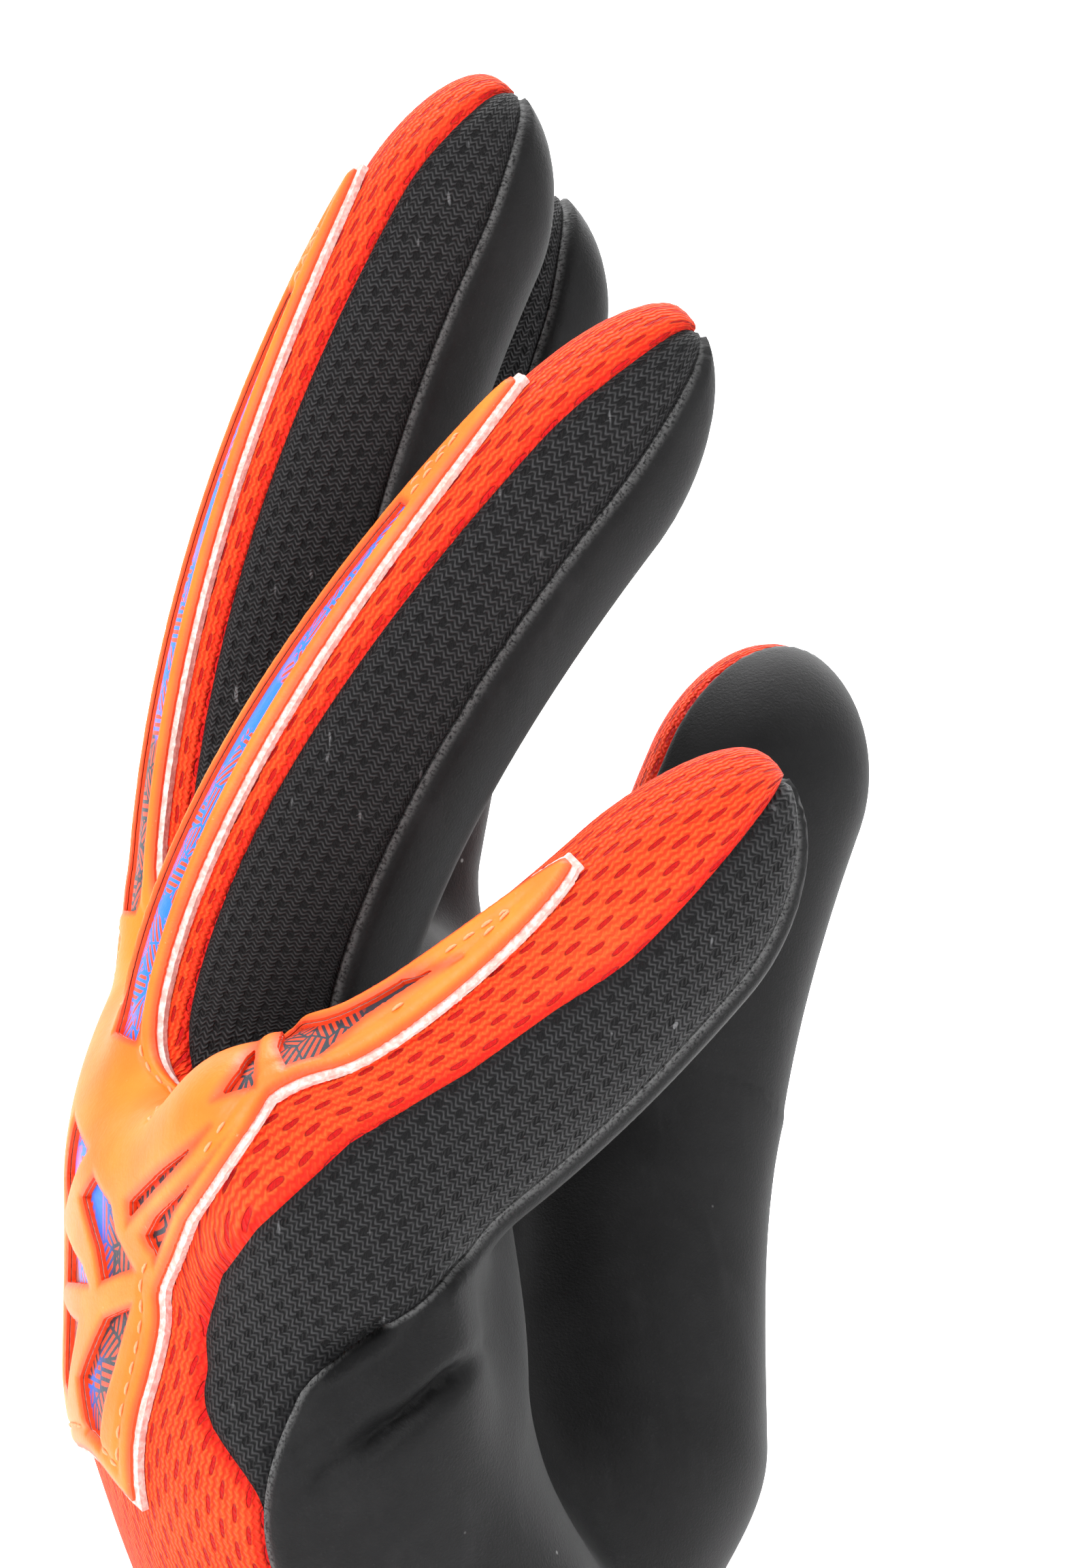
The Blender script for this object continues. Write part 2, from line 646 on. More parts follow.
def isoline(skin, level):
    """Lines of vertices' places along level == 0, as a list of arrays of points with normals."""
    level = np.where(np.abs(level) < 1e-6, 1e-6, level)
    tris = skin.tris
    high = level[tris] > 0
    tris = tris[high.any(1) & ~high.all(1)]
    links, spots = {}, {}
    at, normal = skin["at"], skin["normal"]
    for tri in tris:
        ends = []
        for a, b in ((tri[0], tri[1]), (tri[1], tri[2]), (tri[2], tri[0])):
            if (level[a] > 0) != (level[b] > 0):
                key = (min(a, b), max(a, b))
                if key not in spots:
                    t = level[a] / (level[a] - level[b])
                    spots[key] = np.concatenate([mix(at[a], at[b], t), mix(normal[a], normal[b], t)])
                ends.append(key)
        links.setdefault(ends[0], []).append(ends[1])
        links.setdefault(ends[1], []).append(ends[0])
    lines, seen = [], set()
    for start in sorted(links, key=lambda k: (len(links[k]) != 1, k)):
        if start in seen:
            continue
        line, here = [start], start
        seen.add(start)
        while True:
            onward = [k for k in links[here] if k not in seen]
            if not onward:
                break
            here = onward[0]
            seen.add(here)
            line.append(here)
        if len(line) > 3:
            lines.append(np.array([spots[k] for k in line]))
    return lines


# ------------------------------------------------------------------ meshes

def new_object(name, points, tris, materials, face_material=None, uv=None, values=None, normals=None):
    """A mesh object from places in millimetres; uv in millimetres and values are per vertex."""
    mesh = bpy.data.meshes.new(name)
    mesh.vertices.add(len(points))
    mesh.vertices.foreach_set("co", (np.asarray(points) * MM).astype(np.float32).ravel())
    mesh.loops.add(len(tris) * 3)
    mesh.loops.foreach_set("vertex_index", np.asarray(tris).astype(np.int32).ravel())
    mesh.polygons.add(len(tris))
    mesh.polygons.foreach_set("loop_start", np.arange(0, len(tris) * 3, 3, dtype=np.int32))
    mesh.polygons.foreach_set("use_smooth", np.full(len(tris), True))
    for material in materials:
        mesh.materials.append(material)
    if face_material is not None:
        mesh.polygons.foreach_set("material_index", np.asarray(face_material).astype(np.int32))
    if uv is not None:
        layer = mesh.uv_layers.new(name="weave")
        layer.data.foreach_set("uv", (np.asarray(uv)[tris.ravel()] * MM).astype(np.float32).ravel())
    mesh.update()
    mesh.validate()
    for key, value in (values or {}).items():
        value = np.asarray(value, np.float32)
        kind = "FLOAT" if value.ndim == 1 else "FLOAT_VECTOR"
        attribute = mesh.attributes.new(key, kind, "POINT")
        attribute.data.foreach_set("value" if value.ndim == 1 else "vector", value.ravel())
    if normals is not None and len(mesh.loops) == len(normals):
        mesh.normals_split_custom_set(normals.tolist())
    obj = bpy.data.objects.new(name, mesh)
    bpy.context.scene.collection.objects.link(obj)
    return obj


def shell(name, skin, outer, inner, materials, rim_material=None):
    """Closed sheet between two offsets from a skin, with the skin's own shading normals."""
    n, tris = len(skin["at"]), skin.tris
    normal = skin["normal"]
    top = skin["at"] + normal * np.broadcast_to(outer, n)[:, None]
    bottom = skin["at"] + normal * np.broadcast_to(inner, n)[:, None]
    edges = skin.border()
    a, b = edges.T
    rim = np.concatenate([np.stack([a, a + n, b], 1), np.stack([b, a + n, b + n], 1)])
    faces = np.concatenate([tris, tris[:, ::-1] + n, rim])
    points = np.concatenate([top, bottom])
    shade = skin["shade"] if "shade" in skin.data else normal
    p = points[rim]
    rim_normal = unit(np.cross(p[:, 1] - p[:, 0], p[:, 2] - p[:, 0]))
    corner = np.concatenate([shade[tris.ravel()], -shade[tris[:, ::-1].ravel()],
                             np.repeat(rim_normal, 3, 0)])
    slot = np.zeros(len(faces), int)
    if rim_material is not None:
        slot[2 * len(tris):] = np.tile(rim_material(edges), 2)
    uv = np.stack([skin["along"], skin["around"]], -1)
    rest = skin["at"] * MM
    return new_object(name, points, faces, materials, slot, np.concatenate([uv, uv]),
                      {"rest": np.concatenate([rest, rest - normal * MM]),
                       "edge": np.tile(skin["edge"], 2)}, corner)


def grid_solid(name, point, nu, nv, material, closed=False, uv_size=(1, 1)):
    """Closed sheet of a formula: point(u, v, w) along, across and through it, all from 0 to 1."""
    u = np.linspace(0, 1, nu + 1)
    v = np.linspace(0, 1, nv + 1)
    if closed:
        v = v[:-1]
    grid_u, grid_v = (m.ravel() for m in np.meshgrid(u, v, indexing="ij"))
    rows, cols = nu + 1, len(v)
    points = np.concatenate([point(grid_u, grid_v, np.full(len(grid_u), w)) for w in (0.0, 1.0)])
    i, j = (m.ravel() for m in np.meshgrid(np.arange(nu), np.arange(cols if closed else nv), indexing="ij"))
    a, b = i * cols + j, i * cols + (j + 1) % cols
    c, d = b + cols, a + cols
    size = rows * cols
    face = np.concatenate([np.stack([a, b, c], 1), np.stack([a, c, d], 1)])
    faces = [face + size, face[:, ::-1]]
    loop = [np.arange(cols), (rows - 1) * cols + np.arange(cols)[::-1]]
    if not closed:
        left, right = np.arange(rows) * cols, np.arange(rows) * cols + cols - 1
        loop = [np.concatenate([np.arange(cols), right[1:], loop[1][1:], left[::-1][1:-1]])]
    for ring in loop:
        p, q = ring, np.roll(ring, -1)
        faces += [np.stack([p, q, q + size], 1), np.stack([p, q + size, p + size], 1)]
    tris = np.concatenate(faces)
    uv = np.tile(np.stack([grid_u * uv_size[0], grid_v * uv_size[1]], -1), (2, 1))
    edge = np.minimum(grid_u, 1 - grid_u) * uv_size[0]
    if not closed:
        edge = np.minimum(edge, np.minimum(grid_v, 1 - grid_v) * uv_size[1])
    volume = dot(points[tris[:, 0]], np.cross(points[tris[:, 1]], points[tris[:, 2]])).sum()
    if volume < 0:
        tris = tris[:, ::-1]
    obj = new_object(name, points, tris, [material], None, uv,
                     {"rest": points * MM, "edge": np.tile(edge, 2)})
    obj.data.set_sharp_from_angle(angle=math.radians(50))
    return obj


def stitches(name, lines, length, gap, radius, lift, material):
    """Separate stitches of thread that follow lines of points with normals."""
    ring = 6
    shape = np.array([(-1.0, 0.15), (-0.72, 0.8), (0, 1.0), (0.72, 0.8), (1.0, 0.15)])
    turns = np.arange(ring) * 2 * math.pi / ring
    points, faces = [], []
    for line in lines:
        way = np.concatenate([[0], np.cumsum(np.linalg.norm(np.diff(line[:, :3], axis=0), axis=1))])
        count = int(way[-1] / (length + gap))
        for i in range(count):
            middle = (i + 0.5) * (length + gap)
            spots = [np.array([np.interp(middle + e * length / 2, way, line[:, k]) for k in range(6)])
                     for e in (-1, 0, 1)]
            along = unit(spots[2][:3] - spots[0][:3])
            normal = unit(spots[1][3:])
            side = unit(np.cross(along, normal))
            base = len(points) * len(shape) * ring
            here = []
            for x, r in shape:
                centre = np.array([np.interp(middle + x * length / 2, way, line[:, k]) for k in range(3)])
                centre = centre + normal * (lift - radius * 0.7 * x * x)
                here += [centre + radius * r * (side * math.cos(t) + normal * math.sin(t)) for t in turns]
            points.append(np.array(here))
            for row in range(len(shape) - 1):
                for k in range(ring):
                    a, b = base + row * ring + k, base + row * ring + (k + 1) % ring
                    faces += [(a, b, b + ring), (a, b + ring, a + ring)]
            last = base + (len(shape) - 1) * ring
            for k in range(1, ring - 1):
                faces += [(base, base + k + 1, base + k), (last, last + k, last + k + 1)]
    if not points:
        return None
    points = np.concatenate(points)
    tris = np.array(faces)
    first = points[tris[:12]] - points[:30].mean(0)
    if dot(first[:, 0], np.cross(first[:, 1], first[:, 2])).sum() < 0:
        tris = tris[:, ::-1]
    return new_object(name, points, tris, [material], None, points[:, :2], {"rest": points * MM})


# ------------------------------------------------------------------ materials

class Paint:
    """Short way to write a node material."""

    def __init__(self, name):
        self.material = bpy.data.materials.new(name)
        self.material.use_nodes = True
        self.tree = self.material.node_tree
        self.shader = self.tree.nodes["Principled BSDF"]

    def node(self, kind, inputs=(), out=0, **settings):
        made = self.tree.nodes.new(kind)
        for key, value in settings.items():
            setattr(made, key, value)
        for key, value in dict(inputs).items():
            self.feed(made.inputs[key], value)
        return made.outputs[out]

    def feed(self, socket, value):
        if isinstance(value, bpy.types.NodeSocket):
            self.tree.links.new(value, socket)
        elif hasattr(socket.default_value, "__len__") and not hasattr(value, "__len__"):
            socket.default_value = [value] * len(socket.default_value)
        else:
            socket.default_value = value

    def math(self, operation, *values):
        return self.node("ShaderNodeMath", enumerate(values), operation=operation)

    def times(self, a, b):
        return self.math("MULTIPLY", a, b)

    def attribute(self, name, out=2):
        return self.node("ShaderNodeAttribute", out=out, attribute_name=name)

    def rest(self):
        return self.attribute("rest", 1)

    def noise(self, vector, scale, detail=3.0, rough=0.55, stretch=None):
        if stretch:
            vector = self.node("ShaderNodeVectorMath", {0: vector, 1: stretch}, operation="MULTIPLY")
        return self.node("ShaderNodeTexNoise", {"Vector": vector, "Scale": scale, "Detail": detail,
                                                "Roughness": rough})

    def voronoi(self, vector, scale, feature="F1"):
        return self.node("ShaderNodeTexVoronoi", {"Vector": vector, "Scale": scale}, feature=feature)

    def band(self, value, low, high):
        """0 below low, 1 above high, smooth between."""
        return self.node("ShaderNodeMapRange", {"Value": value, "From Min": low, "From Max": high},
                         interpolation_type="SMOOTHSTEP")

    def mix(self, share, a, b):
        made = self.tree.nodes.new("ShaderNodeMix")
        made.data_type = "RGBA"
        self.feed(made.inputs["Factor"], share)
        self.feed(made.inputs["A"], (*a, 1.0) if isinstance(a, tuple) else a)
        self.feed(made.inputs["B"], (*b, 1.0) if isinstance(b, tuple) else b)
        return made.outputs["Result"]

    def weave(self):
        """Coordinates along and around the panel, in millimetres."""
        uv = self.node("ShaderNodeUVMap", uv_map="weave")
        split = self.tree.nodes.new("ShaderNodeSeparateXYZ")
        self.feed(split.inputs[0], uv)
        return [self.times(split.outputs[i], 1 / MM) for i in (0, 1)]

    def finish(self, colour, roughness, height, depth, **settings):
        self.feed(self.shader.inputs["Base Color"], colour)
        self.feed(self.shader.inputs["Roughness"], roughness)
        for key, value in settings.items():
            self.feed(self.shader.inputs[key.replace("_", " ")], value)
        bump = self.node("ShaderNodeBump", {"Height": height, "Distance": depth, "Strength": 1.0})
        self.feed(self.shader.inputs["Normal"], bump)
        return self.material


def staggered(paint, u, v, pitch_u, pitch_v, half_u, half_v, slant=0.0):
    """Soft spots in staggered rows: 1 in the middle of each spot, 0 between them."""
    row = paint.math("FLOOR", paint.math("DIVIDE", v, pitch_v))
    shift = paint.times(paint.math("PINGPONG", row, 1.0), 0.5)
    drift = paint.times(v, slant)
    along = paint.math("ADD", paint.math("DIVIDE", paint.math("ADD", u, drift), pitch_u), shift)
    x = paint.math("SUBTRACT", paint.math("FRACT", along), 0.5)
    y = paint.math("SUBTRACT", paint.math("FRACT", paint.math("DIVIDE", v, pitch_v)), 0.5)
    x = paint.math("POWER", paint.math("ABSOLUTE", paint.times(x, pitch_u / half_u)), 2.5)
    y = paint.math("POWER", paint.math("ABSOLUTE", paint.times(y, pitch_v / half_v)), 2.5)
    return paint.band(paint.math("ADD", x, y), 1.35, 0.55)


def wavy(paint, coordinate, pitch, other, other_pitch, swing):
    """Ridges across a coordinate that swing along the other one, from 0 to 1."""
    sway = paint.times(paint.math("SINE", paint.times(other, 2 * math.pi / other_pitch)), swing)
    phase = paint.times(paint.math("ADD", coordinate, sway), 2 * math.pi / pitch)
    return paint.math("MULTIPLY_ADD", paint.math("SINE", phase), 0.5, 0.5)


def spacer_mesh():
    """Bright warp-knit spacer mesh: chains of loops with staggered long eyelets."""
    p = Paint("spacer_mesh")
    u, v = p.weave()
    wobble = p.noise(p.rest(), 260, 2)
    v = p.math("ADD", v, p.times(wobble, 0.5))
    eyelet = staggered(p, u, v, 4.1, 1.45, 1.05, 0.24, 0.25)
    chain = wavy(p, v, 0.725, u, 1.1, 0.09)
    loop = wavy(p, p.math("ADD", u, p.times(v, 0.4)), 0.62, v, 0.725, 0.12)
    fibre = p.noise(p.rest(), 2600, 2)
    knit = p.times(p.math("POWER", chain, 0.7), p.math("MULTIPLY_ADD", loop, 0.55, 0.45))
    knit = p.math("MULTIPLY_ADD", fibre, 0.25, knit)
    cloth = p.mix(p.band(knit, 0.15, 0.95), (0.93, 0.028, 0.006), (1.0, 0.095, 0.018))
    patch = p.noise(p.rest(), 45, 2)
    cloth = p.mix(p.times(p.band(patch, 0.45, 0.75), 0.25), cloth, (1.0, 0.13, 0.03))
    cloth = p.mix(p.times(eyelet, 0.9), cloth, (0.42, 0.0, 0.004))
    seam = p.band(p.attribute("edge"), 2.2, 0.2)
    cloth = p.mix(p.times(seam, 0.75), cloth, (0.62, 0.004, 0.006))
    height = p.math("SUBTRACT", knit, p.times(eyelet, 1.6))
    rough = p.math("MULTIPLY_ADD", fibre, 0.2, 0.62)
    return p.finish(cloth, rough, height, 0.00028, Sheen_Weight=0.03, Sheen_Roughness=0.4,
                    Specular_IOR_Level=0.15)


def gusset_knit():
    """Black spacer knit: wavy rows of loops with small holes."""
    p = Paint("gusset_knit")
    u, v = p.weave()
    wobble = p.noise(p.rest(), 300, 2)
    across = p.math("ADD", v, p.times(wobble, 0.7))
    hole = staggered(p, u, across, 2.3, 2.0, 0.55, 0.38, 0.1)
    row = wavy(p, p.math("MULTIPLY_ADD", v, 0.15, u), 0.62, across, 1.0, 0.2)
    rib = wavy(p, across, 1.0, u, 2.3, 0.12)
    fibre = p.noise(p.rest(), 3000, 2)
    knit = p.times(p.math("POWER", row, 1.4), p.math("MULTIPLY_ADD", rib, 0.5, 0.5))
    knit = p.math("MULTIPLY_ADD", fibre, 0.3, knit)
    knit = p.math("SUBTRACT", knit, p.times(hole, 0.8))
    cloth = p.mix(p.band(knit, 0.1, 1.1), (0.0025, 0.0025, 0.003), (0.05, 0.05, 0.052))
    lint = p.band(p.noise(p.rest(), 900, 1, stretch=(1, 1, 0.25)), 0.74, 0.8)
    cloth = p.mix(p.times(lint, 0.35), cloth, (0.35, 0.35, 0.36))
    cloth = p.mix(p.times(p.band(p.attribute("edge"), 1.6, 0.1), 0.6), cloth, (0.004, 0.004, 0.005))
    return p.finish(cloth, 0.8, knit, 0.0004, Sheen_Weight=0.03, Sheen_Roughness=0.5,
                    Specular_IOR_Level=0.2)


def latex_foam():
    """Charcoal latex foam: fine pores, soft sheen, light rubbed edges."""
    p = Paint("latex_foam")
    place = p.rest()
    pore = p.noise(place, 3200, 3, 0.6)
    cloud = p.noise(place, 55, 4, 0.6)
    streak = p.noise(place, 180, 3, 0.6, stretch=(1, 1, 0.3))
    base = p.mix(p.band(cloud, 0.3, 0.75), (0.0045, 0.0045, 0.0048), (0.012, 0.012, 0.0125))
    base = p.mix(p.times(p.band(streak, 0.55, 0.8), 0.3), base, (0.024, 0.024, 0.025))
    base = p.mix(p.times(p.band(pore, 0.62, 0.75), 0.25), base, (0.035, 0.035, 0.035))
    rubbed = p.times(p.band(p.attribute("edge"), 1.1, 0.1), p.band(pore, 0.3, 0.6))
    base = p.mix(p.times(rubbed, 0.6), base, (0.16, 0.16, 0.16))
    lint = p.band(p.voronoi(place, 130), 0.045, 0.02)
    base = p.mix(p.times(lint, 0.4), base, (0.4, 0.4, 0.4))
    height = p.math("MULTIPLY_ADD", streak, 0.6, pore)
    rough = p.math("MULTIPLY_ADD", cloud, 0.2, 0.55)
    return p.finish(base, rough, height, 0.00009, Sheen_Weight=0.02, Sheen_Roughness=0.35,
                    Specular_IOR_Level=0.15)


def overlay_rubber():
    """Orange moulded rubber with a fine grain and rubbed edges."""
    p = Paint("overlay_rubber")
    place = p.rest()
    grain = p.noise(place, 1900, 3)
    cloud = p.noise(place, 70, 3)
    base = p.mix(p.band(cloud, 0.3, 0.75), (1.0, 0.145, 0.006), (1.0, 0.22, 0.014))
    base = p.mix(p.times(p.band(p.attribute("edge"), 0.9, 0.05), 0.8), base, (0.85, 0.045, 0.008))
    base = p.mix(p.times(p.band(grain, 0.68, 0.8), 0.3), base, (1.0, 0.5, 0.3))
    return p.finish(base, p.math("MULTIPLY_ADD", grain, 0.2, 0.42), grain, 0.00006, Specular_IOR_Level=0.4)


def cut_foam():
    """Pinkish white foam that shows where the overlay is cut."""
    p = Paint("cut_foam")
    grain = p.noise(p.rest(), 1500, 3)
    smear = p.noise(p.rest(), 150, 2)
    base = p.mix(p.band(grain, 0.35, 0.7), (0.66, 0.38, 0.34), (0.90, 0.68, 0.64))
    base = p.mix(p.times(p.band(smear, 0.55, 0.8), 0.5), base, (0.95, 0.45, 0.35))
    return p.finish(base, 0.75, grain, 0.00015, Specular_IOR_Level=0.2)


def cut_rubber():
    """Darker side of the overlay inside its windows."""
    p = Paint("cut_rubber")
    grain = p.noise(p.rest(), 1500, 3)
    return p.finish(p.mix(grain, (0.75, 0.03, 0.008), (0.95, 0.09, 0.012)), 0.6, grain, 0.0001,
                    Specular_IOR_Level=0.3)


def printed_film():
    """Print under the overlay: clusters of short parallel bars and blue clouds on slate."""
    p = Paint("printed_film")
    u, v = p.weave()
    vector = p.node("ShaderNodeCombineXYZ", {0: u, 1: v})
    cell = p.tree.nodes.new("ShaderNodeTexVoronoi")
    p.feed(cell.inputs["Vector"], vector)
    p.feed(cell.inputs["Scale"], 0.26)
    colour = p.tree.nodes.new("ShaderNodeSeparateColor")
    p.feed(colour.inputs[0], cell.outputs["Color"])
    angle = p.times(p.math("ROUND", p.times(colour.outputs[0], 4)), math.pi / 4)
    across = p.math("ADD", p.times(u, p.math("COSINE", angle)),
                    p.times(v, p.math("SINE", angle)))
    bar = p.band(p.math("SINE", p.times(across, 2 * math.pi / 0.95)), -0.25, 0.1)
    border = p.voronoi(vector, 0.26, feature="DISTANCE_TO_EDGE")
    bar = p.times(bar, p.band(border, 0.03, 0.06))
    cluster = p.band(p.noise(vector, 0.09, 1), 0.44, 0.47)
    corner = p.times(p.band(v, 27.0, 29.0), p.band(u, 137.0, 134.0))
    cluster = p.math("MAXIMUM", cluster, corner)
    bar = p.times(bar, cluster)
    moved = p.node("ShaderNodeVectorMath", {0: vector, 1: (37.0, 11.0, 5.0)}, operation="ADD")
    cloud = p.noise(moved, 0.055, 1)
    back = p.times(p.band(cloud, 0.42, 0.46), p.band(v, 32.0, 26.0))
    base = p.mix(back, (0.020, 0.034, 0.046), (0.012, 0.17, 0.80))
    lilac = p.band(p.noise(vector, 0.11, 1), 0.60, 0.64)
    base = p.mix(p.times(p.times(lilac, p.band(v, 30.0, 20.0)), 0.5), base, (0.30, 0.16, 0.72))
    base = p.mix(bar, base, (0.68, 0.055, 0.016))
    weave_grain = p.noise(p.rest(), 2400, 2)
    return p.finish(base, p.math("MULTIPLY_ADD", weave_grain, 0.25, 0.35), weave_grain, 0.00005,
                    Specular_IOR_Level=0.4)


def thread(name, colour):
    p = Paint(name)
    twist = p.noise(p.rest(), 4000, 2)
    return p.finish(p.mix(twist, tuple(0.55 * c for c in colour), colour), 0.6, twist, 0.0001,
                    Specular_IOR_Level=0.3)


def woven(name, dark, light, pitch_u, pitch_v, depth=0.0003, fuzz=0.15):
    """Ribbed or woven band: two crossing sets of yarns."""
    p = Paint(name)
    u, v = p.weave()
    wobble = p.noise(p.rest(), 200, 2)
    warp = wavy(p, p.math("MULTIPLY_ADD", wobble, 0.3, v), pitch_v, u, pitch_u * 2, pitch_v * 0.12)
    weft = wavy(p, u, pitch_u, v, pitch_v * 2, pitch_u * 0.2)
    fibre = p.noise(p.rest(), 2600, 2)
    height = p.math("MULTIPLY_ADD", fibre, 0.3, p.times(warp, p.math("MULTIPLY_ADD", weft, 0.6, 0.4)))
    base = p.mix(p.band(height, 0.1, 1.0), dark, light)
    base = p.mix(p.times(p.band(p.attribute("edge"), 1.4, 0.1), 0.4), base, dark)
    return p.finish(base, 0.75, height, depth, Sheen_Weight=fuzz, Sheen_Roughness=0.5,
                    Specular_IOR_Level=0.2)


def fastener(name, hooks):
    """Half of a hook and loop fastener: rows of hooks or a felt of loops."""
    p = Paint(name)
    u, v = p.weave()
    if hooks:
        spots = p.voronoi(p.node("ShaderNodeCombineXYZ", {0: u, 1: v}), 1.1)
        height = p.math("SUBTRACT", 1.0, p.band(spots, 0.15, 0.45))
    else:
        height = p.noise(p.rest(), 1300, 5, 0.75)
    base = p.mix(height, (0.004, 0.004, 0.005), (0.06, 0.06, 0.065))
    return p.finish(base, 0.85, height, 0.0006, Sheen_Weight=0.0 if hooks else 0.4, Sheen_Roughness=0.6,
                    Specular_IOR_Level=0.2)


def padding_foam():
    p = Paint("padding_foam")
    cell = p.voronoi(p.rest(), 1400)
    return p.finish(p.mix(cell, (0.70, 0.62, 0.48), (0.86, 0.80, 0.68)), 0.9, cell, 0.0002,
                    Specular_IOR_Level=0.1)


MESH = spacer_mesh()
GUSSET = gusset_knit()
LATEX = latex_foam()
RUBBER = overlay_rubber()
CUT_FOAM = cut_foam()
CUT_RUBBER = cut_rubber()
FILM = printed_film()
ORANGE_THREAD = thread("orange_thread", (1.0, 0.42, 0.20))
RED_THREAD = thread("red_thread", (0.80, 0.03, 0.01))
ELASTIC = woven("cuff_elastic", (0.004, 0.004, 0.005), (0.055, 0.055, 0.06), 0.9, 1.8, 0.0005)
WEBBING = woven("strap_webbing", (0.006, 0.006, 0.007), (0.075, 0.075, 0.08), 0.8, 1.1)
RED_WEBBING = woven("red_webbing", (0.45, 0.006, 0.004), (1.0, 0.07, 0.015), 0.8, 1.1)
BINDING = woven("binding_tape", (0.40, 0.004, 0.004), (0.95, 0.05, 0.012), 0.6, 0.9, 0.0002)
LOOPS = fastener("loop_fastener", False)
HOOKS = fastener("hook_fastener", True)
FOAM = padding_foam()


# ------------------------------------------------------------------ the glove's skin

# Planes at which a digit's cloth starts to turn with it, and how far the turn reaches
ROOTS = {
    "little": dict(at=(9, -39, 111), normal=(0.64, 0, 0.77), reach=7, flex=5),
    "ring": dict(at=(0, -13, 136), normal=(0, -0.555, 0.832), reach=12, flex=8),
    "middle": dict(at=(0, 12, 148.5), normal=(0, -0.301, 0.954), reach=16, flex=8),
    "index": dict(at=(0, 37.5, 152.5), normal=(0, 0, 1), reach=16, flex=8),
    "thumb": dict(at=tuple(TUBES["thumb"].at(0.02)), normal=tuple(unit(TUBES["thumb"].slope(0.02))),
                  reach=12, flex=7),
}
FLEX_AT = {name: FLEX_LINE * TUBES[name].length for name in DIGITS}

# Folds below the little finger in the side elevation: two ends (x, z), depth and width
CREASES = [
    ((-10.5, 100.3), (-2.5, 104.8), 3.2, 1.4),
    ((-6.7, 90.8), (5.2, 100.6), 2.4, 1.0),
    ((-11.3, 87.6), (-2.7, 96.0), 1.2, 1.0),
    ((-13, 91.4), (-8.6, 94.4), 0.8, 0.9),
]


def creases(points):
    """Depth of the palm's folds at each place."""
    depth = np.zeros(len(points))
    flat = points[:, [0, 2]]
    outer_side = smooth((-28 - points[:, 1]) / 12)
    for start, end, deep, width in CREASES:
        start, end = np.array(start, float), np.array(end, float)
        way = end - start
        t = np.clip(dot(flat - start, way) / dot(way, way), 0, 1)
        gap = np.linalg.norm(flat - start - t[:, None] * way, axis=1)
        depth += deep * bell(gap, width) * smooth(np.minimum(t, 1 - t) * 4 + 0.25)
    return depth * outer_side


def build_skin():
    field, low = glove_grid()
    points, tris = surface(field, low)
    points = relax(points, tris, field, low, 5)
    skin = Skin({"at": points, "normal": vertex_normals(points, tris), **fields(points)}, tris)
    skin = skin.cut(points[:, 2] - SKIN_END)
    skin = skin.part(skin.mean(skin["at"][:, 2]) > SKIN_END)
    skin = skin.cut(skin["back"])
    return skin.cut(skin["palm"])


def relief(skin, kind):
    """How far a panel stands off the skin: it sinks into its seams and swells between them."""
    edge = skin["edge"]
    if kind == "latex":
        return 1.0 - 1.1 * bell(edge, 1.0) - creases(skin["at"])
    swell = 0.5 * (1 - np.exp(-edge / 2.5)) - 0.45 * bell(edge, 0.8)
    return swell - (0.6 * creases(skin["at"]) if kind == "gusset" else 0)


def past_planes(skin, name):
    """How far a digit's skin is past the planes at which it begins and bends; -10 elsewhere."""
    plane = ROOTS[name]
    mine = skin["label"] == LABELS.index(name)
    root = dot(skin["at"] - np.array(plane["at"]), unit(plane["normal"]))
    flex = skin["s_" + name] - FLEX_AT[name] + plane["flex"] + 2
    return [np.where(mine, past, -10) for past in (root, flex)]


def split(skin):
    """Parts of a skin by the body that they follow: the hand, and the root and the tip of each digit."""
    for name in DIGITS:
        skin = skin.cut(past_planes(skin, name)[0])
        skin = skin.cut(past_planes(skin, name)[1])
    owner = np.zeros(len(skin.tris), int)
    for i, name in enumerate(DIGITS):
        root, flex = (skin.mean(past) > 0 for past in past_planes(skin, name))
        owner[root] = 2 * i + 1
        owner[root & flex] = 2 * i + 2
    parts = {}
    for number in np.unique(owner):
        key = "hand" if number == 0 else DIGITS[(number - 1) // 2] + ("_root", "_tip")[(number - 1) % 2]
        parts[key] = skin.part(owner == number)
    return parts


def follow(piece, key):
    """A piece moves with the part of the glove that key names."""
    if "_" not in key:
        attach(piece, "hand")
        return
    name, part = key.rsplit("_", 1)
    plane, tube = ROOTS[name], TUBES[name]
    if part == "root":
        start = np.array(plane["at"], float)
        end = start + unit(plane["normal"]) * plane["reach"]
        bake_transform(piece)
    else:
        start, end = (tube.at((FLEX_AT[name] + side * plane["flex"]) / tube.length) for side in (-1, 1))
        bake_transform(piece)


HAND_NODES = {"back": ["back_mesh", "thenar_mesh"],
              "gusset": ["ulnar_gusset", "radial_gusset", "little_ring_web", "ring_middle_web",
                         "middle_index_web"],
              "latex": ["palm_latex", "thenar_latex", "thenar_heel"]}
PANELS = {"back": ("back", MESH, KNIT_WALL, "spacer_mesh"),
          "gusset": ("gussets", GUSSET, KNIT_WALL, "gusset_knit"),
          "latex": ("latex", LATEX, LATEX_WALL, "latex_foam")}


